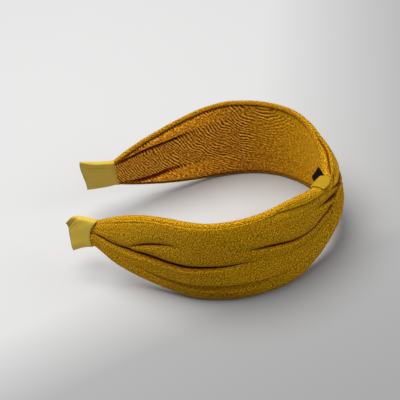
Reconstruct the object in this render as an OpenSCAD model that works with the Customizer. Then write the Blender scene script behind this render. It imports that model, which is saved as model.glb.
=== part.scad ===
// Knotted fabric headband: a flexible plastic hoop in a pleated jersey cover, with a flat
// crossed knot at the crown, a ribbed lining inside and a folded ribbon round each tip.
// It lies on its lower rim. +X points at the crown, the U opens towards -X, +Z is across
// the band, and the origin is the bottom centre of the bounding box. The near arm is on
// the -Y side and the far arm on the +Y side.

/* [Hoop plan] */
// Radius of the hoop's round crown part, at the middle of the plastic
crown_r = 55; // [48:1:62]
// Angle that each arm turns through on the crown radius
crown_turn = 114; // [100:1:116]
// Length of each arm's nearly straight part
arm_len = 43; // [35:1:55]
// Length of the straight part before each tip
lead_len = 14; // [8:1:18]
// How much shorter the near arm was made than the far one
near_short = 1; // [0:0.5:4]
// How far the near arm's tip drops below the far one
near_drop = 2; // [0:0.5:3]
// Length of the outward flare at the tip, which the ribbon covers
tip_len = 16.5; // [13:0.5:18]
// Angle that the tip flares back outwards
tip_turn = 22; // [10:1:26]
// Angle from the crown's middle to the place where each arm flexes
flex_at = 32; // [28:1:36]

/* [Band width] */
// Width of the gathered band under the knot
knot_w = 30; // [26:1:34]
// Width of the band where it is widest
full_w = 53; // [46:1:58]
// Width of the band at the tips
tip_w = 18; // [16:0.5:20]
// Distance along the hoop at which the band starts to widen
widen_from = 0; // [0:1:8]
// Distance along the hoop at which the band is at its full width
widen_to = 49; // [44:1:56]
// Distance along the hoop at which the band starts to narrow
narrow_from = 90; // [80:1:96]
// How late the narrowing comes, where 1 is a straight taper
narrow_power = 2; // [1.5:0.1:3]

/* [Layers] */
// Thickness of the plastic hoop
hoop_t = 1.8; // [1.4:0.1:2.2]
// Thickness of the lining and of the cover's turned hem
lining_t = 0.9; // [0.7:0.1:1.2]
// Height of the pleated cover's outer face above the hoop's middle on the arms
cover_out = 3.5; // [3.2:0.1:4.5]
// Height of the knot above the hoop's middle at the crown
knot_out = 7.5; // [6.5:0.1:9]
// Distance from the crown's middle at which the knot has thinned to the arms' height
knot_reach = 42; // [36:1:56]
// Thickness of the gathered cover fabric
cover_t = 1.3; // [0.9:0.1:1.5]
// Thickness of the crown tape and the tip ribbons
ribbon_t = 0.6; // [0.5:0.1:0.8]

/* [Motion] */
// Largest angle that each arm opens outwards
open_deg = 14; // [8:1:16]
// Largest angle that each arm squeezes inwards
squeeze_deg = 6; // [3:1:8]
// Gap between the crown and each arm where the hoop flexes
flex_gap = 0.4; // [0.3:0.1:0.8]

/* [Hidden] */

mustard = [0.71, 0.53, 0.10];
mustard_shade = [0.57, 0.40, 0.10];
ribbon_gold = [0.72, 0.60, 0.19];
hoop_cream = [0.88, 0.85, 0.76];
wadding_white = [0.95, 0.95, 0.92];
glue_amber = [0.85, 0.75, 0.45];
label_black = [0.06, 0.05, 0.06];

// Each arm is [lead length, drop of its tip]
FAR = [lead_len, 0];
NEAR = [lead_len - near_short, near_drop];

hoop_out = hoop_t / 2;
skin_in = -hoop_out - lining_t;   // face of the lining and hem, towards the head
rim_roll = 2.2;                   // cover rolled round each edge of the hoop
hem_w = 3.6;                      // band's edge to the lining's edge
wadding_in = 4.6;                 // band's edge to the wadding's edge
cover_tip_t = 0.8;                // cover fabric pressed flat at the ribbon's mouth
press_len = 10;                   // length over which the ribbon presses the cover flat
glue_t = 0.4;
glue_in = 4.4;                    // band's edge to the glue's edge
end_fold = 1.2;                   // ribbon folded over the end of the hoop
tape_lip = 2;                     // reach of the crown tape over each rim, above the hoop's middle
label_t = 0.4;
label_w = 9;
label_low = 3;                    // band's middle to the label's lower edge
stitch_t = 0.4;
stitch_in = 2.5;                  // band's edge to the row of seam stitches
tack_r = 0.35;
tack_len = 9;
tack_gap = 6;
tack_lift = 2.5;                  // tack stitches' height above the hoop's middle
cross_slope = 0.8;                // slant of the line where the two strands cross

arm_steps = 40;                   // stations from the flex line to the ribbon's mouth
hoop_end = arm_steps + 5;         // station at the end of the hoop, inside the ribbon
ribbon_end = hoop_end + 1;
wadding_end = arm_steps - 3;
crown_steps = 12;                 // stations from the crown's middle to each flex line
knot_shift = 3;                   // stations by which the knot sits on the near side of the middle
tape_steps = 3;                   // stations from the middle of the knot to the edge of the tape
label_steps = 6;                  // stations from the middle of the knot to the end of the label
outline_steps = 44;
far_off = 200;                    // beyond the object, for cuts

flex_s = crown_r * flex_at * PI / 180;
knot_y = flex_s * knot_shift / crown_steps;
// Half the difference between the reach of the crown and of the tips, which centres the box
centre_x = -(crown_r + knot_out + tip_reach()) / 2;

function clamp01(t) = min(max(t, 0), 1);
function ease(t) = 0.5 - 0.5 * cos(180 * clamp01(t));

// Mid-line of the hoop as [length, turn] segments from the crown's middle to the tip
function segments(arm) = [
    [crown_r * crown_turn * PI / 180, crown_turn],
    [arm_len + arm[0], 0],
    [tip_len, -tip_turn]];
function mouth_s(arm) = segments(arm)[0][0] + segments(arm)[1][0];
function end_s(arm) = mouth_s(arm) + tip_len;

// [x, y, heading] after going a distance from p while turning through an angle
function go(p, len, turn) = turn == 0
    ? [p[0] - len * sin(p[2]), p[1] + len * cos(p[2]), p[2]]
    : let (r = len * 180 / (turn * PI))
      [p[0] + r * (cos(p[2] + turn) - cos(p[2])), p[1] + r * (sin(p[2] + turn) - sin(p[2])),
       p[2] + turn];
function walk(segs, s, i, p) = (s <= segs[i][0] || i == len(segs) - 1)
    ? go(p, s, segs[i][1] * s / segs[i][0])
    : walk(segs, s - segs[i][0], i + 1, go(p, segs[i][0], segs[i][1]));
// A negative distance is on the other half of the crown, which mirrors this one
function on_hoop(arm, s, x0) = let (p = walk(segments(arm), abs(s), 0, [crown_r + x0, 0, 0]))
    s < 0 ? [p[0], -p[1], -p[2]] : p;
function off_hoop(p, n) = [p[0] + n * cos(p[2]), p[1] + n * sin(p[2])];
function tip_reach() = off_hoop(on_hoop(FAR, end_s(FAR), 0), hoop_out + glue_t + ribbon_t)[0];

function band_w(arm, s) =
    knot_w + (full_w - knot_w) * ease((abs(s) - widen_from) / (widen_to - widen_from))
    - (full_w - tip_w) * pow(clamp01((s - narrow_from) / (mouth_s(arm) - narrow_from)), narrow_power);
function drop(arm, s) = arm[1] * pow(clamp01((s - narrow_from) / (end_s(arm) - narrow_from)), 2);
function cover_at(arm, s) =
    let (pressed = clamp01((s - mouth_s(arm) + press_len) / press_len))
    (cover_out + (knot_out - cover_out) * (1 - ease(abs(s) / knot_reach))) * (1 - pressed)
    + (hoop_out + cover_tip_t) * pressed;

// Distances along the hoop of the numbered stations
function arm_s(arm, i) =
    i <= arm_steps ? flex_s + (mouth_s(arm) - flex_s) * i / arm_steps
    : i <= hoop_end ? mouth_s(arm) + (tip_len - end_fold) * (i - arm_steps) / (hoop_end - arm_steps)
    : end_s(arm);
function crown_s(i) = flex_s * i / crown_steps;
function arm_list(arm, first, last) = [for (i = [first:last]) arm_s(arm, i)];
function crown_list(first, last) = [for (i = [first:last]) crown_s(i)];

// Plan of a layer between two heights above the hoop's middle, over a list of stations
module strip(arm, stations, inner, outer) {
    last = len(stations) - 1;
    polygon(concat(
        [for (s = stations) off_hoop(on_hoop(arm, s, centre_x), inner)],
        [for (i = [last:-1:0]) off_hoop(on_hoop(arm, stations[i], centre_x), outer)]));
}

// The same, up to the cover's outer face less a thickness
module cover_strip(arm, stations, inner, under) {
    last = len(stations) - 1;
    polygon(concat(
        [for (s = stations) off_hoop(on_hoop(arm, s, centre_x), inner)],
        [for (i = [last:-1:0])
            off_hoop(on_hoop(arm, stations[i], centre_x), cover_at(arm, stations[i]) - under)]));
}

// Side outline of the band, inset from both rims, as a prism across the whole object
module side(arm, inset) {
    s = [for (i = [0:outline_steps]) end_s(arm) * i / outline_steps];
    x = [for (d = s) on_hoop(arm, d, centre_x)[0]];
    middle = [for (d = s) full_w / 2 - drop(arm, d)];
    half = [for (d = s) band_w(arm, d) / 2 - inset];
    n = outline_steps;
    rotate([90, 0, 0])
        linear_extrude(far_off, center = true)
            polygon(concat(
                [[far_off, middle[0] + half[0]]],
                [for (i = [0:n]) [x[i], middle[i] + half[i]]],
                [[-far_off, middle[n] + half[n]], [-far_off, middle[n] - half[n]]],
                [for (i = [n:-1:0]) [x[i], middle[i] - half[i]]],
                [[far_off, middle[0] - half[0]]]));
}

// A plan shape, as wide as the band less an inset at both rims
module band(arm, inset) {
    intersection() {
        translate([0, 0, -1])
            linear_extrude(full_w + 2)
                children();
        side(arm, inset);
    }
}

// Cuts the crown's ends back so that neither arm meets them over its travel
module clear_of_arms() {
    reach = 12;
    difference() {
        children();
        for (flip = [0, 1])
            mirror([0, flip, 0])
                translate(concat(off_hoop(on_hoop(FAR, flex_s, centre_x), 0), [-1]))
                    rotate(flex_at)
                        linear_extrude(full_w + 2)
                            polygon([[0, -flex_gap],
                                     [reach, -flex_gap - reach * tan(open_deg)],
                                     [reach, reach],
                                     [-reach, reach],
                                     [-reach, -flex_gap - reach * tan(squeeze_deg)]]);
    }
}

module near_side() {
    mirror([0, 1, 0])
        children();
}

// ---- crown ----

module crown_layer(inset, inner, outer) {
    band(FAR, inset)
        strip(FAR, crown_list(-crown_steps, crown_steps), inner, outer);
}

module hoop_crown() {
    color(hoop_cream)
        clear_of_arms()
            crown_layer(rim_roll, -hoop_out, hoop_out);
}

module crown_lining() {
    color(mustard_shade)
        clear_of_arms()
            crown_layer(hem_w, skin_in, -hoop_out);
}

// Ribbon laid across the inside of the crown, with a lip over each rim
module crown_tape() {
    span = crown_list(-knot_shift - tape_steps, -knot_shift + tape_steps);
    wider = crown_list(-knot_shift - tape_steps - 1, -knot_shift + tape_steps + 1);
    color(ribbon_gold)
        difference() {
            band(FAR, 0)
                strip(FAR, span, skin_in - ribbon_t, tape_lip);
            band(FAR, ribbon_t)
                strip(FAR, wider, skin_in, tape_lip + 1);
        }
}

module woven_label() {
    color(label_black)
        intersection() {
            translate([0, 0, full_w / 2 + label_low])
                linear_extrude(label_w)
                    strip(FAR, crown_list(tape_steps - knot_shift, label_steps - knot_shift),
                          skin_in - label_t, skin_in);
            side(FAR, 0);
        }
}

// Short thread bars that hold the two crossed strands to each other
module knot_tack_stitches() {
    color(mustard_shade)
        for (k = [-1:1])
            translate([centre_x + crown_r + tack_lift, -knot_y - cross_slope * tack_gap * k,
                       full_w / 2 + tack_gap * k])
                rotate([90, 0, 0])
                    cylinder(h = tack_len, r = tack_r, center = true, $fn = 24);
}

module knot_block() {
    clear_of_arms()
        difference() {
            band(FAR, 0)
                cover_strip(FAR, crown_list(-crown_steps, crown_steps), skin_in, 0);
            crown_layer(rim_roll, -hoop_out, hoop_out);
            crown_layer(hem_w, skin_in - 1, -hoop_out);
            crown_tape();
            knot_tack_stitches();
        }
}

// Everything on one side of the slanted line where the strands cross
module cross_side(dir) {
    translate([0, -knot_y, full_w / 2])
        rotate([90, 0, 90])
            linear_extrude(far_off, center = true)
                polygon([[cross_slope * far_off, -far_off],
                         [-cross_slope * far_off, far_off],
                         [2 * dir * far_off, far_off],
                         [2 * dir * far_off, -far_off]]);
}

module near_knot_strand() {
    color(mustard)
        intersection() {
            knot_block();
            cross_side(-1);
        }
}

module far_knot_strand() {
    color(mustard)
        intersection() {
            knot_block();
            cross_side(1);
        }
}

// ---- arms ----

module arm_hoop(arm) {
    color(hoop_cream)
        band(arm, rim_roll)
            strip(arm, arm_list(arm, 0, hoop_end), -hoop_out, hoop_out);
}

module arm_wadding(arm) {
    color(wadding_white)
        band(arm, wadding_in)
            cover_strip(arm, arm_list(arm, 0, wadding_end), hoop_out, cover_t);
}

module arm_lining(arm) {
    color(mustard_shade)
        band(arm, hem_w)
            strip(arm, arm_list(arm, 0, arm_steps), skin_in, -hoop_out);
}

// A row of short stitches inside the hem along each rim
module arm_seam(arm) {
    mid_hem = -hoop_out - lining_t / 2;
    color(mustard_shade)
        difference() {
            band(arm, stitch_in)
                for (i = [1:2:arm_steps - 1])
                    strip(arm, arm_list(arm, i, i + 1), mid_hem - stitch_t / 2, mid_hem + stitch_t / 2);
            side(arm, stitch_in + stitch_t);
        }
}

// Outer skin rolled round both edges of the hoop, with a hem turned in beside the lining
module arm_cover(arm) {
    all = arm_list(arm, 0, arm_steps);
    color(mustard)
        difference() {
            band(arm, 0)
                cover_strip(arm, all, skin_in, 0);
            arm_hoop(arm);
            arm_wadding(arm);
            arm_lining(arm);
            arm_seam(arm);
        }
}

module arm_tip_glue(arm) {
    color(glue_amber)
        band(arm, glue_in)
            strip(arm, arm_list(arm, arm_steps + 1, hoop_end - 1), hoop_out, hoop_out + glue_t);
}

// Ribbon wrapped round the end of the hoop and folded over it
module arm_tip_ribbon(arm) {
    color(ribbon_gold)
        difference() {
            band(arm, 0)
                strip(arm, arm_list(arm, arm_steps, ribbon_end), -hoop_out - ribbon_t,
                      hoop_out + glue_t + ribbon_t);
            arm_hoop(arm);
            arm_tip_glue(arm);
        }
}

module near_hoop_arm() near_side() arm_hoop(NEAR);
module near_wadding() near_side() arm_wadding(NEAR);
module near_cover() near_side() arm_cover(NEAR);
module near_lining() near_side() arm_lining(NEAR);
module near_seam_stitches() near_side() arm_seam(NEAR);
module near_tip_glue() near_side() arm_tip_glue(NEAR);
module near_tip_ribbon() near_side() arm_tip_ribbon(NEAR);

module far_hoop_arm() arm_hoop(FAR);
module far_wadding() arm_wadding(FAR);
module far_cover() arm_cover(FAR);
module far_lining() arm_lining(FAR);
module far_seam_stitches() arm_seam(FAR);
module far_tip_glue() arm_tip_glue(FAR);
module far_tip_ribbon() arm_tip_ribbon(FAR);

hoop_crown();
crown_lining();
near_knot_strand();
far_knot_strand();
knot_tack_stitches();
crown_tape();
woven_label();
near_hoop_arm();
near_wadding();
near_cover();
near_lining();
near_seam_stitches();
near_tip_glue();
near_tip_ribbon();
far_hoop_arm();
far_wadding();
far_cover();
far_lining();
far_seam_stitches();
far_tip_glue();
far_tip_ribbon();
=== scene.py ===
"""Looks of the knotted headband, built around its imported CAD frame.

Every cloth piece is a grid of points laid along the hoop: s runs along the hoop's middle line from
the middle of the crown, z across the band from its mid-plane, and n outwards from the middle of the
plastic. These three are in millimetres, and Arm.place() turns them into metres in the row frame.
"""
import math
from collections import namedtuple

import bpy
import numpy as np
from mathutils import Matrix, Vector


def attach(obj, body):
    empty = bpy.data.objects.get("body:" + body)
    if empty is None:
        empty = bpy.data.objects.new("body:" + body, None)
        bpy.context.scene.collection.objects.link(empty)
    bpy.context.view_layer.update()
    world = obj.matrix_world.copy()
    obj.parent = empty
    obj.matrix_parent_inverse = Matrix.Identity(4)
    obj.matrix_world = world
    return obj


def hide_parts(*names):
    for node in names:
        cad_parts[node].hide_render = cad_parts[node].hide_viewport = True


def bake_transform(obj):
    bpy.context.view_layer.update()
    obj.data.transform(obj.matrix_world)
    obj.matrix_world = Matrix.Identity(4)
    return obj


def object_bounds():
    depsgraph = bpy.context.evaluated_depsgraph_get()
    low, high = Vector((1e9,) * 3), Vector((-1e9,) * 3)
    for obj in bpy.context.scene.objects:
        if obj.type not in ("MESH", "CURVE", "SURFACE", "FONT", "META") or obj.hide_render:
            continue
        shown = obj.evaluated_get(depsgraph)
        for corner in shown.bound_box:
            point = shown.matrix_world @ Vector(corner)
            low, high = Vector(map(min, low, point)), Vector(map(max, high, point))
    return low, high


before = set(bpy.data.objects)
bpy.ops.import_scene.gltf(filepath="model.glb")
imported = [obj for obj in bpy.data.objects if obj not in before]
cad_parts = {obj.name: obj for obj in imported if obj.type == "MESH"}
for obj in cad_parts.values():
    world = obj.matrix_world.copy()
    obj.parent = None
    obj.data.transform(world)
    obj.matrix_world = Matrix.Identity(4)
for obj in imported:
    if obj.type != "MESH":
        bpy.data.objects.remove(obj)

CAD_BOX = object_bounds()
MM = 0.001

# ---- the hoop and the band, as in the CAD

CROWN_R = 55.0  # radius of the hoop's round part
CROWN_TURN = math.radians(114)  # turn of each arm on that radius
TIP_LEN = 16.5  # length of the flare that the ribbon covers
TIP_TURN = math.radians(22)
FLEX_S = CROWN_R * math.radians(32)  # where each arm flexes
KNOT_W, FULL_W, TIP_W = 30.0, 53.0, 18.0
WIDEN_TO, NARROW_FROM = 49.0, 90.0
COVER_OUT, KNOT_OUT, KNOT_REACH = 3.5, 7.5, 42.0
COVER_TIP, PRESS_LEN = 1.7, 10.0  # cover's height at the ribbon's mouth, and the length of that press
SKIN_IN = -1.8  # the lining's face, towards the head
RIM_N = -0.4  # height at which the rims are widest
KNOT_S = 7.68  # the knot's middle, on the near side of the crown's middle
CENTRE_X = CAD_BOX[1].x / MM - CROWN_R - KNOT_OUT
MID_Z = FULL_W / 2
PAST_TIP = 1.1  # the tip's drop and lean go on this far, as a share of the way to it
TRIM_REACH = 12.0  # length over which the cloth is gathered narrower at the mouth


def unit(t):
    """t, held between 0 and 1."""
    return np.clip(t, 0, 1)


def rise(t, start, end):
    """0 up to start, 1 from end on, and a straight line between them."""
    return unit((t - start) / (end - start))


def ease(t):
    """Smooth step from 0 to 1."""
    return 0.5 - 0.5 * np.cos(np.pi * unit(t))


def bell(t, width, power=2):
    """1 where t is 0, fading smoothly to 0 on both sides."""
    return np.exp(-(t / width) ** power)


def curve(*points):
    """A smooth function through (x, y) points, level beyond its ends."""
    x, y = np.array(sorted(points), float).T
    slope = np.gradient(y, x)

    def at(t):
        t = np.clip(np.asarray(t, float), x[0], x[-1])
        i = np.clip(np.searchsorted(x, t) - 1, 0, len(x) - 2)
        step = x[i + 1] - x[i]
        u = (t - x[i]) / step
        return (
            y[i] * (1 + 2 * u) * (1 - u) ** 2
            + slope[i] * step * u * (1 - u) ** 2
            + y[i + 1] * u * u * (3 - 2 * u)
            + slope[i + 1] * step * u * u * (u - 1)
        )

    return at


class Arm:
    """One half of the band: its side of the Y axis, its length, and how its tip drops and leans.

    trim is how much narrower the cloth is gathered at the mouth of the ribbon, above and below.
    """

    def __init__(self, name, side, straight, drop, lean, trim):
        self.name, self.side = name, side
        self.round = CROWN_R * CROWN_TURN
        self.mouth = self.round + straight
        self.end = self.mouth + TIP_LEN
        self.tip_drop, self.tip_lean = drop, math.radians(lean)
        self.trim = trim

    def hoop(self, s):
        """x, y and heading of the hoop's middle line. A negative s is beyond the crown's middle."""
        a = np.abs(s)
        turn = np.minimum(a, self.round) / CROWN_R
        x, y = CROWN_R * np.cos(turn), CROWN_R * np.sin(turn)
        straight = np.clip(a - self.round, 0, self.mouth - self.round)
        x, y = x - straight * np.sin(turn), y + straight * np.cos(turn)
        flare = np.maximum(a - self.mouth, 0) / TIP_LEN * TIP_TURN
        r = TIP_LEN / TIP_TURN
        x = x - r * (np.cos(turn - flare) - np.cos(turn))
        y = y - r * (np.sin(turn - flare) - np.sin(turn))
        heading = (turn - flare) * np.sign(s) * self.side
        return x + CENTRE_X, y * np.sign(s) * self.side, heading

    def to_tip(self, s):
        """0 where the band begins to narrow, 1 at the tip."""
        return np.clip((s - NARROW_FROM) / (self.end - NARROW_FROM), 0, PAST_TIP)

    def half(self, s, z=0):
        """Half of the band's width. With z, the width of the cloth on that side of the middle."""
        trim = np.where(np.asarray(z) > 0, self.trim[0], np.where(np.asarray(z) < 0, self.trim[1], 0))
        trim = trim * bell(self.mouth + 2 - s, TRIM_REACH)
        widening = ease(np.abs(s) / WIDEN_TO)
        narrowing = rise(s, NARROW_FROM, self.mouth) ** 2
        return (KNOT_W + (FULL_W - KNOT_W) * widening - (FULL_W - TIP_W) * narrowing) / 2 - trim

    def cover(self, s):
        """Height of the cover's outer face."""
        pressed = unit((s - self.mouth + PRESS_LEN) / PRESS_LEN)
        full = COVER_OUT + (KNOT_OUT - COVER_OUT) * (1 - ease(np.abs(s) / KNOT_REACH))
        return full * (1 - pressed) + COVER_TIP * pressed

    def place(self, s, n, z):
        """Points in the row frame, in metres, from s, n and z in millimetres."""
        s, n, z = np.broadcast_arrays(np.asarray(s, float), n, z)
        lean = self.tip_lean * self.to_tip(s)
        n, z = n - z * np.sin(lean), z * np.cos(lean)
        x, y, heading = self.hoop(s)
        z = z + MID_Z - self.tip_drop * self.to_tip(s) ** 2
        return np.stack([x + n * np.cos(heading), y + n * np.sin(heading), z], -1) * MM


NEAR = Arm("near", -1, 56.0, 2.0, 18.8, (0.0, 2.9))
FAR = Arm("far", 1, 57.0, 0.0, 10.1, (1.3, 0.0))

# ---- mesh helpers


def link(name, data):
    """A new object in the scene."""
    piece = bpy.data.objects.new(name, data)
    bpy.context.scene.collection.objects.link(piece)
    return piece


def new_piece(name, points, quads, material, cloth=None, dark=None):
    """A mesh object from points and faces.

    cloth holds each point's place on the flat cloth, in mm. dark is painted shade, stored as the crease
    attribute: above 0 where a crease, rim or edge lies in shade, and below 0 painted light on lit ridges
    and strips.
    """
    mesh = bpy.data.meshes.new(name)
    mesh.from_pydata(np.asarray(points).reshape(-1, 3).tolist(), [], np.asarray(quads).tolist())
    mesh.validate()
    for key, kind, slot, values in (("cloth", "FLOAT_VECTOR", "vector", cloth),
                                    ("crease", "FLOAT", "value", dark)):
        if values is not None:
            layer = mesh.attributes.new(key, kind, "POINT").data
            layer.foreach_set(slot, np.asarray(values, np.float32).ravel())
    mesh.materials.append(material)
    mesh.polygons.foreach_set("use_smooth", [True] * len(mesh.polygons))
    mesh.update()
    return link(name, mesh)


def grid_quads(rows, columns, ring=False, flip=False):
    """Faces of a grid of points, row after row. A ring joins the last column to the first."""
    i, j = np.mgrid[:rows - 1, :columns if ring else columns - 1]
    k = (j + 1) % columns
    quads = np.stack([i * columns + j, i * columns + k, (i + 1) * columns + k, (i + 1) * columns + j], -1)
    return quads.reshape(-1, 4)[:, ::-1 if flip else 1]


def thicken(piece, thickness, offset=-1.0):
    """Gives a sheet its real thickness, as a closed shell."""
    modifier = piece.modifiers.new("thickness", "SOLIDIFY")
    modifier.thickness, modifier.offset = thickness * MM, offset
    depsgraph = bpy.context.evaluated_depsgraph_get()
    mesh = bpy.data.meshes.new_from_object(piece.evaluated_get(depsgraph))
    piece.modifiers.clear()
    piece.data = mesh
    return piece


# ---- folds

UPPER_OVER, LOWER_OVER = [(0, 1), (1, 1)], [(0, -1), (1, -1)]  # which side of a crease laps over


class Fold:
    """A crease along the band, as curves through (s, z) and (s, depth) points.

    laps is 1 where the upper side lies over the lower one, and -1 the other way round. sharp is 1 for
    a pressed pleat with an overhanging lip, and 0 for a soft wave.
    """

    def __init__(self, z, depth, laps=UPPER_OVER, sharp=1.0):
        self.z, self.depth, self.laps, self.sharp = curve(*z), curve(*depth), curve(*laps), sharp


CREASE_GAP = 0.5  # least distance between two creases
FULL_DEPTH = 0.8  # from this depth on, a crease parts the cloth into two swells
LIP_WIDTH, DIP_WIDTH = 0.5, 0.9  # lengths over which a lip rises and a crease deepens
SOFT_REACH = 3.4  # reach of a fold's soft shoulders
LIP_HANG = 0.3  # how far a pressed lip hangs over its dip, per mm of depth
DARK_WIDTH = 0.34  # width of the shaded line in a crease, per mm of depth
RIDGE_FROM, RIDGE_TO = 45.0, 80.0  # where an upper lip gets a painted highlight on its ridge, with painted shade on a soft band below
GAP_STEPS = 20
WAVE_LEN = 6.0  # spacing of the fine gathers across the band
# Shift across the band and height of the four points at a crease, from upper to lower: where the
# upper side laps over, where the lower one does, and the shift that both start from
LAP_UPPER = np.array([(-0.15, 0.1), (-0.3, -0.2), (0.42, -0.6), (0.3, -1.0)])
LAP_LOWER = np.array([(-0.3, -1.0), (-0.42, -0.6), (0.3, -0.2), (0.15, 0.1)])
NO_LAP = np.array([0.06, 0.02, -0.02, -0.06])


class Face:
    """A face between two edges, functions of s, with its creases in order from the top down.

    Crease 0 is the top edge, and the one after the last fold is the bottom edge. Band k lies
    between the creases k and k + 1.
    """

    def __init__(self, top, bottom, folds):
        self.top, self.bottom, self.folds = top, bottom, folds

    def is_fold(self, k):
        return 0 < k <= len(self.folds)

    def line(self, k, s):
        """z of crease k, kept below the one above it."""
        z = self.top(s)
        for fold in self.folds[:k]:
            z = np.maximum(np.minimum(fold.z(s), z - CREASE_GAP), self.bottom(s) + CREASE_GAP)
        return self.bottom(s) if k > len(self.folds) else z

    def active(self, k, s):
        """1 where crease k parts the cloth, and 0 where the cloth runs on."""
        return unit(self.depth(k, s) / FULL_DEPTH) if self.is_fold(k) else 1 + 0 * s

    def depth(self, k, s):
        return np.maximum(self.folds[k - 1].depth(s), 0)

    def pressed(self, k, s, gap):
        """Depth of crease k, less where the band beside it is narrow."""
        return self.depth(k, s) * np.clip(gap / 2.5, 0.25, 1)

    def laps(self, k, s):
        return np.clip(self.folds[k - 1].laps(s), -1, 1)

    def ridged(self, k, s):
        """1 where crease k is a ridge lit from above, and 0 where it is a dark slit."""
        return unit(self.laps(k, s)) * rise(s, RIDGE_FROM, RIDGE_TO)

    def joint(self, k, s, gap, row):
        """Height and shift of the points at crease k. row counts them from 0, upper, to 3, lower."""
        depth = self.pressed(k, s, gap)
        up, low = unit(self.laps(k, s)), unit(-self.laps(k, s))
        height = depth * (up * LAP_UPPER[row, 1] + low * LAP_LOWER[row, 1])
        sideways = up * LAP_UPPER[row, 0] + low * LAP_LOWER[row, 0]
        return height, NO_LAP[row] + depth * self.folds[k - 1].sharp * sideways

    def beside(self, k, band, s, z):
        """How a band's points lie to crease k: room beside it, distance, share on the lip, in the dip."""
        side = -1 if k <= band else 1
        here, after = self.line(k, s), self.line(k - side, s)
        room = np.abs(after - here)
        if self.is_fold(k - side):
            room = room + (1 - self.active(k - side, s)) * np.abs(self.line(k - 2 * side, s) - after)
        return room, np.abs(z - here), unit(self.laps(k, s) * side), unit(-self.laps(k, s) * side)


def lap_height(depth, room, away, on_lip, in_dip):
    """Height of the lip or the dip beside a crease."""
    d = away / np.clip(room / 8, 0.3, 1)
    lip = (0.1 + 0.3 * (1 - np.exp(-d / LIP_WIDTH))) * bell(d, SOFT_REACH)
    dip = -0.6 * np.exp(-d / DIP_WIDTH) - 0.4 * bell(d, SOFT_REACH)
    return depth * np.clip(room / 3, 0.3, 1) * (on_lip * lip + in_dip * dip)


def lap_shade(dark, light, depth, sharp, ridged, away, on_lip, in_dip):
    """dark and light with one more crease: its painted shade line, or the painted highlight on its ridge
    and the painted shade on the band below.
    """
    mark = unit(depth / 1.3)
    from_lip = np.maximum(away - LIP_HANG * depth * sharp, 0)
    deep = unit(depth / 2.1) ** 0.8 * bell(from_lip, 0.25 + DARK_WIDTH * depth)
    dark = np.maximum(dark, in_dip * deep)
    dark = np.maximum(dark, 0.4 * np.minimum(mark, 1 - 0.9 * ridged) * bell(away, 0.5))
    dark = np.where(ridged > 0.5, dark * (1 - 0.6 * ridged * (away < 1.6)), dark)
    dark = np.maximum(dark, 0.42 * ridged * mark * in_dip * bell(away - 2.4, 1.8))
    light = np.maximum(light, 1.1 * ridged * np.sqrt(mark) * on_lip * bell(away - 0.5, 0.8))
    return dark, light


def fold_grid(run, face, puff, ripple):
    """s, z, height, shift and painted shade of a folded face, band after band from its top edge down.

    run(z) gives the rows' s for columns that cross the knot at z. puff(s, band) is how far a band
    swells, and ripple(s, band) the height of the fine gathers in it.
    """
    knot = np.array(KNOT_S)
    t = 0.5 - 0.5 * np.cos(np.pi * np.arange(GAP_STEPS + 1) / GAP_STEPS)
    parts = []
    for k in range(len(face.folds) + 1):
        s = run(face.line(k, knot) - (face.line(k, knot) - face.line(k + 1, knot)) * t)
        upper, lower = face.line(k, s), face.line(k + 1, s)
        gap = upper - lower
        z = upper - gap * t
        above, below = face.active(k, s), face.active(k + 1, s)
        pillow = 1 - above * unit(1 - 2 * t) ** 2 - below * unit(2 * t - 1) ** 2
        height = puff(s, k) * pillow * (1 - above * below * (1 - np.clip(gap / 11, 0, 1.3)))
        waves = np.sin(2 * np.pi * (1 + gap / WAVE_LEN) * t + k * 1.7) * np.sin(np.pi * t) ** 0.5
        height = height + ripple(s, k) * waves
        shift, dark, light = 0 * z, 0 * z, 0 * z
        for crease, fold in enumerate(face.folds, 1):
            depth = face.depth(crease, s)
            room, *lies = face.beside(crease, k, s, z)
            height = height + lap_height(depth, room, *lies)
            dark, light = lap_shade(dark, light, depth, fold.sharp, face.ridged(crease, s), *lies)
        # painted highlight on lit ridges goes in as shade below zero
        dark = np.where(dark > 0.3, dark, dark - light)
        for crease, column, row in ((k, 0, 3), (k + 1, -1, 0)):
            if face.is_fold(crease):
                shift[:, column] += face.joint(crease, s[:, column], gap[:, column], row)[1]
        parts.append((s, z, height, shift, dark))
        if face.is_fold(k + 1):
            s = np.repeat(s[:, -1:], 2, axis=1)
            height, shift = face.joint(k + 1, s, gap[:, -1:], slice(1, 3))
            dark = unit(face.pressed(k + 1, s, gap[:, -1:])) * (1 - face.ridged(k + 1, s))
            parts.append((s, face.line(k + 1, s), height, shift, dark))
    return [np.hstack(part) for part in zip(*parts)]


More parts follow.
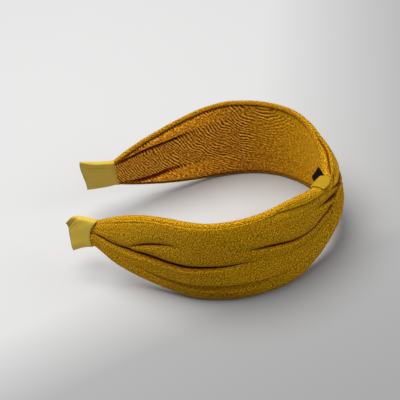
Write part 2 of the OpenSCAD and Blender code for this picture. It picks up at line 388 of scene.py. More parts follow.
# Creases of the near arm's outer face, from the top down
NEAR_FOLDS = [
    Fold([(-14, 13.8), (0, 13.4), (8, 13.8), (19, 16.3), (32, 19.2), (41, 21.9), (49, 24.2), (65, 24.6),
          (90, 24.4), (110, 23), (126, 20.2), (141, 16.3), (156, 11.7), (168, 7.8)],
         [(8, 0.2), (20, 0.5), (32, 1), (46, 0.9), (56, 0.4), (64, 0), (118, 0), (130, 0.3), (145, 0.4),
          (158, 0.25), (168, 0.1)]),
    Fold([(-14, 10), (0, 9.6), (8, 9.2), (13.5, 8), (17.5, 8.8), (21, 10), (24.5, 11), (30, 12.4),
          (40, 14), (60, 16), (90, 17), (110, 15.4), (126, 12), (141, 9), (156, 7.2), (168, 5.4)],
         [(6, 0), (9, 0.3), (12, 1.6), (15, 2.6), (18, 2), (22, 1.1), (26, 0.4), (30, 0)], LOWER_OVER),
    Fold([(-14, 7), (0, 7), (8, 7.3), (12, 7.2), (14, 6.8), (15.5, 5), (18.5, 3.7), (24, 3.2),
          (29, 1.9), (33, 1.1), (37, 1), (45, 2.1), (55, 4.8), (67, 7.7), (80, 9.6), (95, 10.8),
          (111, 10.3), (122, 7.5), (132, 4.4), (140, 1.9), (148, 1.4), (157, 3.2), (168, 3.6)],
         [(0, 1.4), (8, 1.6), (14, 1.7), (19, 1.2), (26, 0.8), (36, 0.9), (44, 1.5), (60, 1.8), (67, 0.8),
          (74, 0), (103, 0), (112, 0.8), (122, 1.8), (130, 1.8), (138, 0.7), (143, 0), (168, 0)],
         LOWER_OVER),
    Fold([(-14, 6), (0, 5), (10, 3), (20, 0), (30, -2.5), (42, -3.6), (55, -2.2), (70, 0.3), (83, -0.8),
          (93, -1.9), (107, -3.3), (127, -2.4), (145, -0.7), (157, 1.6), (168, 2.1)],
         [(-13, 0.3), (10, 0.35), (40, 0.3), (60, 0.2), (70, 0.4), (80, 1.2), (95, 2.4), (115, 3.2),
          (138, 3.2), (146, 2.3), (158, 1.7), (163, 1.3), (168, 0.9)], LOWER_OVER),
    Fold([(-14, -3), (0, -4.6), (10, -6), (20, -8.2), (30, -10.6), (40, -13.2), (51, -14.8), (72, -14.2),
          (90, -13.8), (109, -14), (125, -12.6), (140, -9), (155, -4.8), (168, -3)],
         [(0, 0.5), (30, 1), (55, 1.2), (75, 1.9), (100, 2), (120, 1.4), (138, 0.4), (150, 0)],
         sharp=0.4),
    Fold([(-14, -9), (0, -9.6), (15, -12.2), (30, -16), (45, -19.6), (60, -20.6), (90, -20), (110, -18.6),
          (130, -14.6), (150, -9.2), (168, -5.6)],
         [(0, 0.4), (30, 0.8), (60, 0.8), (85, 1.1), (110, 0.7), (130, 0)], sharp=0.2),
]
FAR_FOLDS = [
    Fold([(-22, 13.6), (-13, 13.6), (-8, 14.4), (0, 14.2), (20, 18), (32, 21), (45, 24), (65, 24.8),
          (110, 23), (126, 20.2), (141, 16.3), (156, 11.7), (168, 7.8)],
         [(-22, 1.8), (-8, 1.8), (0, 0.6), (20, 0.7), (35, 0.8), (50, 0.3), (62, 0), (120, 0), (135, 0.3),
          (168, 0.2)]),
    Fold([(-22, 9), (-8, 7.6), (0, 7), (15, 6.4), (30, 6), (50, 6.8), (70, 8), (95, 7.6), (120, 5.4),
          (145, 3), (168, 2.4)],
         [(-14, 1.2), (15, 1.5), (40, 1.9), (58, 1.6), (75, 0.3), (90, 0), (108, 0.4), (122, 1.4),
          (135, 0.9), (146, 0)], laps=[(80, -1), (95, 1)]),
    Fold([(-22, 2), (0, -0.5), (20, -3.5), (45, -6.5), (70, -6.2), (100, -4.6), (125, -2.8), (145, -1.4),
          (168, 0.4)],
         [(0, 0.5), (30, 0.8), (60, 0.3), (78, 0.6), (100, 1.8), (125, 2.3), (145, 2), (168, 1)]),
    Fold([(-22, -6), (0, -7), (20, -11), (45, -15), (70, -16.5), (100, -15.6), (125, -11.6), (145, -7.4),
          (168, -3.4)],
         [(0, 0.6), (30, 0.9), (70, 0.7), (100, 0.8), (130, 0.3), (150, 0)], sharp=0.3),
    Fold([(-22, -11), (0, -11), (20, -14.5), (45, -20.2), (70, -21.6), (100, -20.6), (125, -16.4),
          (145, -11.4), (168, -5.8)],
         [(0, 0.4), (30, 0.6), (60, 0.3), (90, 0.5), (110, 0.3), (130, 0)], sharp=0.2),
]
# Creases of the lining, where it is gathered under each tip ribbon
LINING_FOLDS = [
    Fold([(60, 17), (100, 14.5), (118, 12.6), (132, 11.2), (148, 9.9), (162, 7.1), (170, 6)],
         [(108, 0), (120, 0.8), (132, 1.6), (150, 1.9), (158, 1.3), (164, 0.6), (170, 0.4)], LOWER_OVER),
    Fold([(60, -12), (100, -10), (120, -9.6), (133, -10.3), (145, -11.6), (157, -10.6), (170, -6.8)],
         [(122, 0), (130, 0.8), (145, 1.5), (156, 1.1), (164, 0.5), (170, 0.4)], LOWER_OVER),
]

# The near panel's end, where it crosses the far one: its s at each z on the knot
CROSSING = curve((-17, -14), (-15, -13), (-8, -10), (0, -5), (5, 0), (8.5, 5), (12, 10.5), (15, 17),
                 (17, 17))
ROWS = 250
FACE_EDGE, KNOT_EDGE = 0.94, 0.985  # share of the half width at which the rims begin to round
EDGE_REACH = 22.0  # how far from the knot the rims change from one to the other
FACE_POWER, KNOT_POWER = 2.6, 4.2  # squareness of the band's section, along the arms and at the knot
SQUARE_REACH = 26.0
HEM_STEPS, RIM_STEPS = 5, 14
# Height of the pleat line that runs along the far panel's upper rim near the knot, and its size
PLEAT_N = curve((-22, 6.6), (-9.5, 6.0), (-5, 4.6), (0.5, 2.8), (9, 2.1), (15, 2.1), (21, 1.0), (30, 0.9))
PLEAT_WIDTH, PLEAT_DEPTH = 0.65, 1.4
PLEAT_FROM, PLEAT_TO = 22.0, 30.0  # s over which it runs out
CREASE_FLOOR = 1.55  # the wadding stops the creases here: below it they are a tenth as deep
HEM_OUT = 0.45  # how far the turned hem stands proud of the lining
HEM_LIP = 1.1  # drop of the hem's edge onto the lining
SEAM_WIDTH = 1.45  # width of the shaded groove beside the hem
RIM_TURN = 1.3  # width of the rim's inner round
EDGE_R = 1.1  # radius of the near panel's folded end
UNDERLAP = 5.0  # how far the far panel's end runs on under the near one
PUFF = curve((-14, 0.3), (15, 0.45), (60, 0.7), (120, 0.7), (150, 0.5), (168, 0.1))  # of the outer panels


def edge_share(s):
    """Share of the half width at which the rims begin to round."""
    return FACE_EDGE + (KNOT_EDGE - FACE_EDGE) * bell(s, EDGE_REACH)


def face_height(arm, s, z):
    """Height of the smooth outer face at z."""
    v = unit(np.abs(z) / arm.half(s, z))
    power = FACE_POWER + (KNOT_POWER - FACE_POWER) * bell(s, SQUARE_REACH)
    return RIM_N + (arm.cover(s) - RIM_N) * (1 - v ** power) ** (1 / power)


def hem_width(arm, s):
    """Width of the hem turned to the inside along each rim."""
    if arm is FAR:
        return np.interp(s, (-20, 0, 30, 76), (2.4, 2.4, 1.75, 1.45))
    return np.interp(s, (-20, 0, 30, 76, 108, 134, 147, 162), (3.0, 3.0, 2.2, 1.6, 2.2, 2.7, 3.1, 2.8))


def side_grid(arm, s, face_n, sign):
    """s, n, z and painted shade of the hem and the rim, above (sign 1) or below (sign -1) the face.

    face_n is the height of the face's edge there.
    """
    width, hem, share = arm.half(s, sign), hem_width(arm, s), edge_share(s)
    inner = SKIN_IN - HEM_OUT * np.clip((arm.mouth - s) / 6, 0.2, 1)
    u = np.linspace(0, 1, HEM_STEPS)[None, :]
    hem_z = width - hem + (hem - RIM_TURN) * u
    hem_n = inner + HEM_LIP * (1 - u) ** 7 + 0 * hem_z
    a = np.linspace(0, math.pi / 2, RIM_STEPS)[None, 1:]
    rim_z = width - RIM_TURN * (1 - np.sin(a))
    rim_n = RIM_N - (RIM_N - inner) * np.cos(a)
    b = a[:, :-1]
    top_n = face_height(arm, s, sign * width * share)
    out_z = width * (share + (1 - share) * np.cos(b))
    out_n = RIM_N + (top_n - RIM_N) * np.sin(b) ** (2 - share) + 0 * out_z
    out_n = out_n + np.sin(b) ** 2 * (face_n - top_n)
    groove = 0 * out_n
    if arm is FAR and sign > 0:
        groove = rise(s, PLEAT_TO, PLEAT_FROM) * bell(out_n - PLEAT_N(s), PLEAT_WIDTH)
    out_z = out_z - PLEAT_DEPTH * groove
    # painted shade on the hem and the rim, deeper along the far arm; the pleat groove gets painted shade
    # too
    shade = 0.22 if arm is NEAR else np.interp(s, (0, 60), (0.3, 0.52))
    z = sign * np.hstack([hem_z, rim_z, out_z])
    n = np.hstack([hem_n, rim_n, out_n])
    dark = np.hstack([0.8 * shade + 0.1 + 0 * hem_z, shade * np.cos(a) ** 0.3 + 0 * rim_z,
                      np.maximum(groove, shade - 0.30)])
    # painted shade on the hem's edge, which lies in shade
    if sign > 0 or arm is NEAR:
        dark[:, 0], dark[:, 1] = 1.0, 0.6
    return [part[:, ::sign] for part in (s + 0 * z, n, z, dark)]


def panel_grid(arm, folds, start, ripple):
    """s, n, z and painted shade of an outer panel, from its end in the knot to just under the tip ribbon.
    """
    t = np.linspace(0, 1, ROWS + 1)[:, None]
    last = arm.mouth + 4.5

    def run(z):
        return start(z) + (last - start(z)) * t

    def edge(s, side=1):
        return side * arm.half(s, side) * edge_share(s)

    face = Face(edge, lambda s: edge(s, -1), folds)
    s, z, height, shift, dark = fold_grid(run, face, lambda s, band: PUFF(s), ripple)
    n = face_height(arm, s, z)
    slope = (face_height(arm, s, z + 0.2) - face_height(arm, s, z - 0.2)) / 0.4
    normal = np.stack([np.ones_like(slope), -slope], -1) / np.sqrt(1 + slope ** 2)[..., None]
    n, z = (n + height * normal[..., 0] + shift * slope * 0.5, z + height * normal[..., 1] + shift)
    n = np.where(np.abs(z) < arm.half(s) - 2.5, np.maximum(n, CREASE_FLOOR + 0.1 * (n - CREASE_FLOOR)), n)
    upper = side_grid(arm, s[:, :1], n[:, :1], 1)
    lower = side_grid(arm, s[:, -1:], n[:, -1:], -1)
    return [np.hstack(part) for part in zip(upper, (s, n, z, dark), lower)]


def soft_noise(s, z, seed):
    """Slow unevenness of the cloth, the same on every run."""
    total = np.zeros_like(s)
    draw = np.random.default_rng(seed)
    for _ in range(7):
        length, angle, phase = draw.uniform(9, 26), draw.uniform(-0.5, 0.5), draw.uniform(0, 6.28)
        total = total + np.sin((s * np.cos(angle) / 1.6 + z * np.sin(angle) * 2.2) * 6.28 / length + phase)
    return total / 7


def cloth_place(arm, points):
    """Each point's place on the flat cloth, in mm, as lengths along the panel and from its middle."""
    steps = np.linalg.norm(np.diff(points, axis=1), axis=2) / MM
    run = np.hstack([np.zeros((len(points), 1)), np.cumsum(steps, axis=1)])
    run = run - run[:, run.shape[1] // 2][:, None]
    along = np.linalg.norm(np.diff(points, axis=0), axis=2).mean(axis=1) / MM
    length = np.concatenate([[0], np.cumsum(along)])[:, None] + 0 * run
    return np.stack([length, run, 0 * run + (0 if arm is NEAR else 40)], -1)


def make_panel(arm, folds, start, ripple, over):
    """An outer panel. over says that its end lies folded on the other panel and not under it."""
    s, n, z, dark = panel_grid(arm, folds, start, ripple)
    n = n + 0.22 * soft_noise(s, z, 11 if arm is NEAR else 12) * unit((arm.mouth - s) / 20)
    outer = unit((n - RIM_N) / 2)
    from_end = s - s[0][None, :]
    if over:
        curl = unit(from_end / EDGE_R)
        n = n + outer * (0.35 * unit(1 - from_end / 20) - 2.2 * (1 - np.sqrt(1 - (1 - curl) ** 2)))
        # painted shade along the folded end
        dark = np.maximum(dark, 0.9 * outer * bell(from_end, 0.8))
    else:
        n = n - outer * 1.6 * ease(1 - from_end / 9)
        # painted shadow that the near panel's end casts on this one
        dark = np.maximum(dark, outer * bell(from_end - UNDERLAP - 0.2, 0.8))
    points = arm.place(s, n, z)
    return new_piece(f"{arm.name}_panel", points, grid_quads(*s.shape, flip=arm is NEAR), JERSEY,
                     cloth_place(arm, points), dark)


# ---- materials


class Nodes:
    """Short calls that build one material."""

    def __init__(self, name, **values):
        self.material = bpy.data.materials.new(name)
        self.material.use_nodes = True
        self.tree = self.material.node_tree
        self.shader = self.tree.nodes["Principled BSDF"].inputs
        for key, value in values.items():
            self.shader[key.replace("_", " ")].default_value = value

    def add(self, kind, settings=(), **inputs):
        """A new node. An input is given by its name, or by its number after an i."""
        node = self.tree.nodes.new("ShaderNode" + kind)
        for key, value in dict(settings).items():
            setattr(node, key, value)
        for key, value in inputs.items():
            numbered = key[0] == "i" and key[1:].isdigit()
            socket = node.inputs[int(key[1:]) if numbered else key.replace("_", " ")]
            if isinstance(value, bpy.types.NodeSocket):
                self.tree.links.new(value, socket)
            else:
                socket.default_value = value
        return node

    def math(self, operation, a, b=0.0):
        return self.add("Math", {"operation": operation}, i0=a, i1=b).outputs[0]

    def plus(self, a, b):
        return self.math("ADD", a, b)

    def times(self, a, b):
        return self.math("MULTIPLY", a, b)

    def positive(self, a):
        return self.math("MAXIMUM", a, 0.0)

    def span(self, value, low, high, start=0.0, end=1.0):
        """start where the value is low, end where it is high, and in between in proportion."""
        return self.add("MapRange", Value=value, i1=low, i2=high, i3=start, i4=end).outputs[0]

    def split(self, vector):
        return self.add("SeparateXYZ", Vector=vector).outputs

    def flat(self):
        """The cloth coordinate in mm."""
        return self.add("Attribute", {"attribute_name": "cloth"}).outputs["Vector"]

    # the crease attribute: painted shade above zero, painted light below zero
    def crease(self):
        return self.add("Attribute", {"attribute_name": "crease"}).outputs["Fac"]

    def cloth(self, along, across):
        """The cloth coordinate in mm, scaled."""
        return self.add("Mapping", Vector=self.flat(), Scale=(along, across, 1)).outputs[0]

    def space(self, x=1, y=1, z=1):
        """The object coordinate, scaled."""
        place = self.add("TexCoord").outputs["Object"]
        return self.add("Mapping", Vector=place, Scale=(x, y, z)).outputs[0]

    def wobbled(self, vector, rate, detail, reach):
        """The vector, shifted unevenly along the cloth."""
        noise = self.add("TexNoise", Vector=self.cloth(rate, rate), Scale=1.0, Detail=detail)
        shift = self.add("VectorMath", {"operation": "SCALE"}, i0=noise.outputs["Color"], Scale=reach)
        return self.add("VectorMath", {"operation": "ADD"}, i0=vector, i1=shift.outputs[0]).outputs[0]

    def noise(self, vector, scale=1.0, detail=2.0, rough=0.5):
        node = self.add("TexNoise", Vector=vector, Scale=scale, Detail=detail, Roughness=rough)
        return node.outputs[0]

    def ramp(self, value, *stops):
        """A colour ramp from (value, colour) stops."""
        low, high = stops[0][0], stops[-1][0]
        node = self.add("ValToRGB", Fac=self.span(value, low, high))
        stops = [((place - low) / (high - low), colour) for place, colour in stops]
        ramp = node.color_ramp
        while len(ramp.elements) < len(stops):
            ramp.elements.new(0.5)
        for element, (place, colour) in zip(ramp.elements, stops):
            element.position, element.color = place, (*colour, 1)
        return node.outputs[0]

    def mix(self, factor, a, b, kind="MIX"):
        a, b = ((*value, 1) if isinstance(value, tuple) else value for value in (a, b))
        return self.add("Mix", {"data_type": "RGBA", "blend_type": kind}, i0=factor, i6=a, i7=b).outputs[2]

    def shaded(self, colour):
        """The colour with painted shade, dark and red where crease is above zero, and painted light where
        it is below zero.
        """
        light = self.positive(self.times(self.crease(), -1.0))
        colour = self.mix(light, colour, (1.9, 2.0, 1.2), "MULTIPLY")
        return self.mix(self.positive(self.times(self.crease(), 0.96)), colour, (0.105, 0.0, 0.0))

    def finish(self, colour, roughness, height=None, depth=0.1, strength=1.0):
        """Joins colour, roughness and bump to the shader. depth is the bump's height in mm."""
        self.tree.links.new(colour, self.shader["Base Color"])
        self.tree.links.new(roughness, self.shader["Roughness"])
        if height is not None:
            bump = self.add("Bump", Height=height, Strength=strength, Distance=depth * MM)
            self.tree.links.new(bump.outputs[0], self.shader["Normal"])
        return self.material


KNIT = {"Sheen_Weight": 0.04, "Sheen_Roughness": 0.5, "Specular_IOR_Level": 0.06}
STITCH = (1.4, 1.6)  # spacing of the crepe knit's stitches along and across, in mm


def jersey_material():
    """Mustard crepe knit: a fine diamond of stitches whose two diagonals come and go."""
    m = Nodes("jersey", Sheen_Tint=(1.0, 0.75, 0.2, 1), **KNIT)
    place = m.split(m.wobbled(m.flat(), 0.3, 2.0, 2.4))
    wale = m.times(place[0], 2 * math.pi / STITCH[0])
    course = m.times(place[1], 2 * math.pi / STITCH[1])
    falling = m.math("COSINE", m.plus(wale, course))
    rising = m.math("COSINE", m.math("SUBTRACT", wale, course))
    share = m.span(m.noise(m.cloth(0.12, 0.16)), 0.38, 0.62, 0.22, 0.78)
    stitch = m.plus(m.times(falling, share), m.times(rising, m.math("SUBTRACT", 1.0, share)))
    yarn = m.noise(m.cloth(1.0, 1.1), 1.0, 3.0, 0.8)
    height = m.plus(m.times(stitch, 0.36), m.times(yarn, 3.9))
    # the colour follows the stitch relief: partly the yarn's own tone, partly painted shade in the hollows
    # and painted highlight on the tops
    tone = m.ramp(height, (1.36, (0.055, 0.016, 0.0004)), (1.85, (0.37, 0.155, 0.001)),
                  (2.42, (0.99, 0.58, 0.008)))
    patch = m.ramp(m.noise(m.space(), 38.0, 3.0, 0.55), (0.35, (0.25, 0.098, 0.001)),
                   (0.65, (0.50, 0.235, 0.002)))
    rough = m.plus(0.78, m.times(yarn, 0.2))
    return m.finish(m.shaded(m.mix(0.2, tone, patch)), rough, height, depth=0.3, strength=0.9)


RIB_CENTRE = (72.0, 38.0, 0.0)  # the lining's ribs are arcs round this point, in s and z
RIB_RATE, RIB_POWER = 0.138, 1.3  # their count out to r mm is RIB_RATE * r ** RIB_POWER


def lining_ribs(m):
    """The lining's curved ribs. They fade near the crown and on the strips with painted light."""
    place = m.wobbled(m.flat(), 0.09, 1.0, 6.0)
    reach = m.add("VectorMath", {"operation": "DISTANCE"}, i0=place, i1=RIB_CENTRE).outputs["Value"]
    ribs = m.math("SINE", m.times(m.math("POWER", reach, RIB_POWER), 2 * math.pi * RIB_RATE))
    patch = m.span(m.noise(m.cloth(0.10, 0.13)), 0.36, 0.60)
    flat = m.split(m.flat())
    slanted = m.span(m.plus(flat[0], m.times(flat[1], 0.8)), 55.0, 78.0)
    plain = m.positive(m.times(m.crease(), -1.8))
    ribs = m.times(ribs, m.plus(0.12, m.times(patch, 0.88)))
    return m.times(ribs, m.times(slanted, m.positive(m.math("SUBTRACT", 1.0, plain))))


def lining_material():
    """Browner knit lining: fine curved ribs near the tips, pebbles towards the crown."""
    m = Nodes("lining", Sheen_Tint=(1.0, 0.75, 0.3, 1), **KNIT)
    yarn = m.noise(m.cloth(0.68, 0.75), 1.0, 3.0, 0.75)
    height = m.plus(m.times(lining_ribs(m), 0.68), m.times(yarn, 3.55))
    # the colour follows the relief: partly the yarn's own tone, partly painted shade in the hollows and
    # painted highlight on the tops
    brown = m.ramp(height, (1.05, (0.060, 0.012, 0.001)), (1.7, (0.40, 0.134, 0.004)),
                   (2.45, (1.0, 0.53, 0.055)))
    gold = m.ramp(height, (1.2, (0.20, 0.078, 0.001)), (1.75, (0.60, 0.275, 0.002)),
                  (2.4, (1.0, 0.58, 0.006)))
    from_crown = m.span(m.split(m.flat())[0], 45.0, 88.0)
    rough = m.plus(0.8, m.times(yarn, 0.15))
    return m.finish(m.shaded(m.mix(from_crown, gold, brown)), rough, height, depth=0.3, strength=0.9)


def ribbon_material(name, tint, sheen=0.12):
    """Satin ribbon with a very fine cross rib."""
    m = Nodes(name, Sheen_Weight=sheen, Sheen_Roughness=0.35, Sheen_Tint=(1.0, 0.9, 0.55, 1),
              Specular_IOR_Level=2 * sheen)
    ribs = m.math("SINE", m.times(m.split(m.flat())[0], 2 * math.pi / 0.5))
    yarn = m.noise(m.cloth(0.6, 5.0), 1.0, 3.0, 0.6)
    height = m.plus(m.times(ribs, 0.3), m.times(yarn, 0.5))
    tone = m.ramp(yarn, (0.3, (0.44, 0.29, 0.024)), (0.7, (0.58, 0.41, 0.045)))
    patch = m.ramp(m.noise(m.space(), 90.0), (0.3, (0.42, 0.26, 0.02)), (0.7, (0.60, 0.43, 0.05)))
    tone = m.mix(1.0, m.mix(0.25, tone, patch), tint, "MULTIPLY")
    # painted shade from the crease attribute, at the wraps' mouths, ends and folded corners and along the
    # tape's edges
    tone = m.mix(m.times(m.crease(), 0.75), tone, (0.13, 0.06, 0.003))
    return m.finish(tone, m.plus(0.46, m.times(yarn, 0.2)), height, depth=0.05, strength=0.7)


def mottled_material(name, place, noise, dark, light, rough, bump, **values):
    """A material from one noise. rough is its base and spread, and bump its depth and strength."""
    m = Nodes(name, **values)
    grain = m.noise(m.space(*place), *noise)
    tone = m.ramp(grain, (0.3, dark), (0.7, light))
    return m.finish(tone, m.plus(rough[0], m.times(grain, rough[1])), grain, *bump)


def plastic_material():
    """Cream moulded plastic with a faint grain."""
    m = Nodes("hoop_plastic", Specular_IOR_Level=0.45)
    grain = m.noise(m.space(1000, 1000, 1000), 1.3, 4.0, 0.6)
    tone = m.ramp(m.noise(m.space(), 60.0), (0.3, (0.68, 0.63, 0.50)), (0.7, (0.76, 0.72, 0.60)))
    return m.finish(tone, m.plus(0.35, m.times(grain, 0.12)), grain, depth=0.02, strength=0.5)


def floor_material():
    """Pale matt studio paper, with painted shade that darkens it to the right and towards the front."""
    m = Nodes("studio_paper", Specular_IOR_Level=0.2)
    grain = m.noise(m.space(), 900.0)
    place = m.split(m.space())
    front = m.positive(m.times(place[1], -1.5))
    # painted shade: the light's falloff, darker to the right and towards the front
    painted_falloff = m.plus(m.plus(place[0], front), m.times(m.noise(m.space(), 3.0), 0.02))
    greys = (-0.12, 0.46), (0.02, 0.45), (0.13, 0.27), (0.3, 0.235)
    tone = m.ramp(painted_falloff, *((at, (grey, grey, grey + 0.003)) for at, grey in greys))
    return m.finish(tone, m.plus(0.75, m.times(grain, 0.1)))


JERSEY, LINING = jersey_material(), lining_material()
RIBBON = ribbon_material("ribbon", (1.0, 1.0, 1.0))
TAPE = ribbon_material("crown_ribbon", (0.64, 0.54, 0.14), sheen=0.04)
WOVEN = {"place": (1000, 1000, 1000), "bump": (0.1, 0.8), "Specular_IOR_Level": 0.06}
LABEL = mottled_material("label_weave", noise=(2.2, 3.0, 0.65), dark=(0.003, 0.0008, 0.001),
                         light=(0.008, 0.003, 0.004), rough=(0.9, 0.15), **WOVEN)
THREAD = mottled_material("thread", noise=(4.0, 3.0, 0.65), dark=(0.25, 0.12, 0.012),
                          light=(0.48, 0.27, 0.03), rough=(0.7, 0.15), **WOVEN)
PLASTIC = plastic_material()
WADDING = mottled_material("wadding", (900, 2400, 900), (0.5, 6.0, 0.75), (0.66, 0.66, 0.62),
                           (0.86, 0.86, 0.83), (0.85, 0.1), (0.6, 0.8), Sheen_Weight=0.4,
                           Specular_IOR_Level=0.2)  # tangled polyester fibres
GLUE = mottled_material("glue", (), (260.0,), (0.60, 0.45, 0.16), (0.72, 0.58, 0.26), (0.18, 0.15),
                        (0.3, 0.5), Specular_IOR_Level=0.5, Coat_Weight=0.3)  # amber hot-melt

# ---- outer panels

NEAR_GATHERS = (0.10, 0.16, 0.2, 0.22, 0.3, 0.28, 0.2)  # height of the fine gathers in each band


def under_ribbon(s):
    """Share of the gathers that comes back towards the tip ribbon."""
    return 0.5 * rise(s, 140, 165)


def near_ripple(s, band):
    """Fine gathers that fan out from the knot, strongest in the lower bands."""
    fan = unit(1 - np.abs(s - 12) / 58)
    return NEAR_GATHERS[band] * (1 + 0.9 * bell(s - 5, 22)) * (fan + under_ribbon(s))


def far_ripple(s, band):
    return 0.26 * (1 + bell(s, 24)) * (unit(1 - np.abs(s) / 62) + under_ribbon(s))


near_panel = make_panel(NEAR, NEAR_FOLDS, CROSSING, near_ripple, over=True)
far_panel = make_panel(FAR, FAR_FOLDS, lambda z: -CROSSING(z) - UNDERLAP, far_ripple, over=False)

# ---- lining

LINING_ROWS = 210
SWELL = curve((0, 0.25), (60, 0.35), (120, 0.3), (168, 0.1))  # of the lining's middle band
STRIP = curve((0, 0.3), (90, 0.4), (120, 1.6), (150, 2.4), (160, 1.2), (168, 0.3))  # and of its edges
EDGE_EASE = 2.0  # the strips rise, and their painted light grows, over this length from the hem


def lining_shade(arm, s, z, dark, away):
    """The lining's painted light and shade: painted light on the puffed strips, painted shade in the
    creases and in the groove beside the hem.
    """
    strip = np.interp(s, (80, 120, 168), (0.0, 0.55, 0.55)) * ease(away / EDGE_EASE)
    upper, lower = (fold.z(s) for fold in LINING_FOLDS)
    strip = strip * np.where(z > 0, ease((z - upper) / 1.2), 0.8 * ease((lower - z) / 1.2))
    # painted light on the puffed strips
    dark = np.where(dark > 0.15, dark, -strip)
    for fold in LINING_FOLDS:
        mark = unit(fold.depth(s) / 1.2) * bell(z - fold.z(s) - 0.45, 0.95, 4)
        dark = np.where(mark > 0.1, np.maximum(dark, mark), dark)
    # painted shade in the groove beside the hem
    seam = np.interp(s, (0, 35, 70, 170), (0.4, 0.75, 1.0, 1.0)) * bell(away, SEAM_WIDTH, 4)
    seam = seam * np.where((z < 0) & (arm is FAR), 0.4, 1)
    return np.where(seam > 0.08, np.maximum(dark, seam), dark)


def make_lining(arm):
    """The inner strip of one arm and its half of the crown, tucked under the turned hems."""
    rows = np.linspace(-KNOT_S if arm is FAR else KNOT_S, arm.mouth + 3.5, LINING_ROWS)[:, None]

    def edge(s, side=1):
        return side * (arm.half(s, side) - hem_width(arm, s) + 0.25)

    def puff(s, band):
        return SWELL(s) if band == 1 else STRIP(s)

    face = Face(edge, lambda s: edge(s, -1), LINING_FOLDS)
    s, z, height, shift, dark = fold_grid(lambda z: rows + 0 * z, face, puff, lambda s, band: 0.05 + 0 * s)
    away = np.maximum(np.minimum(edge(s) - z, z - edge(s, -1)), 0)
    tucked = 0.8 * np.exp(-away / 0.6)
    n = SKIN_IN - height * ease(away / EDGE_EASE) - 0.12 * soft_noise(s, z, 21) + tucked
    points = arm.place(s, np.minimum(n, -1.0), z + shift)
    return new_piece(f"{arm.name}_lining_cloth", points, grid_quads(*s.shape, flip=arm is FAR), LINING,
                     np.stack([s, z, 0 * z], -1), lining_shade(arm, s, z, dark, away))


near_lining, far_lining = make_lining(NEAR), make_lining(FAR)

# ---- tip ribbons

WRAP_AROUND, WRAP_ROWS = 96, 44
WRAP_THICK = curve((0, 2.35), (0.5, 2.15), (0.8, 1.7), (1, 0.75))  # half of it, from mouth to end
WRAP_N = 0.05  # height of the ribbon's middle
MOUTH_SHARE = 0.3  # share of its length over which it covers the whole panel

# Each tip ribbon: its start past the mouth, how far its mouth bows back and its end sticks out at
# the upper and the lower edge, and its half widths above and below along its length
Wrap = namedtuple("Wrap", "start bow ear above below")
WRAPS = {
    "near": Wrap(3.2, (4.4, 0.9), (1.3, -0.8),
                 curve((0, 9.6), (0.4, 9.9), (0.72, 10.2), (0.8, 9.9), (1, 6.6)),
                 curve((0, 6.5), (0.3, 7.2), (0.7, 8.7), (1, 10.2))),
    "far": Wrap(-1.6, (0.8, 0.8), (-1.2, 0.8),
                curve((0, 8.6), (0.35, 10.6), (0.7, 12.6), (1, 14.6)),
                curve((0, 9.6), (0.35, 9.2), (0.7, 9.4), (1, 10.4))),
}


def squared(wave):
    """A sine or cosine, bent so that the two together go round a box with soft corners."""
    return np.sign(wave) * np.abs(wave) ** (2 / 5)


def folded_corner(n, z, t, outer):
    """The near ribbon's corner, folded in at the top of its end: the new n, and its painted shade."""
    fold = (t - 0.62) / 0.38 * 5.0 - (9.6 - z) * 0.75
    n = n - outer * 0.34 * np.clip(fold, 0, 4)
    ridge = bell(fold, 0.45) + 0.8 * bell(fold + 2.2, 0.4)
    return n + outer * 0.3 * ridge * (z > 0) * ease((t - 0.5) / 0.2), outer * ease(fold / 0.8)


def folded_edge(n, from_top, outer):
    """The far ribbon's edge, folded down along the top: the new n, and its painted shade."""
    n = n - outer * 0.45 * ease(1 - from_top / 2.4)
    return n, outer * (0.55 * bell(from_top - 0.4, 0.6) + 0.45 * bell(from_top - 3.2, 0.35))


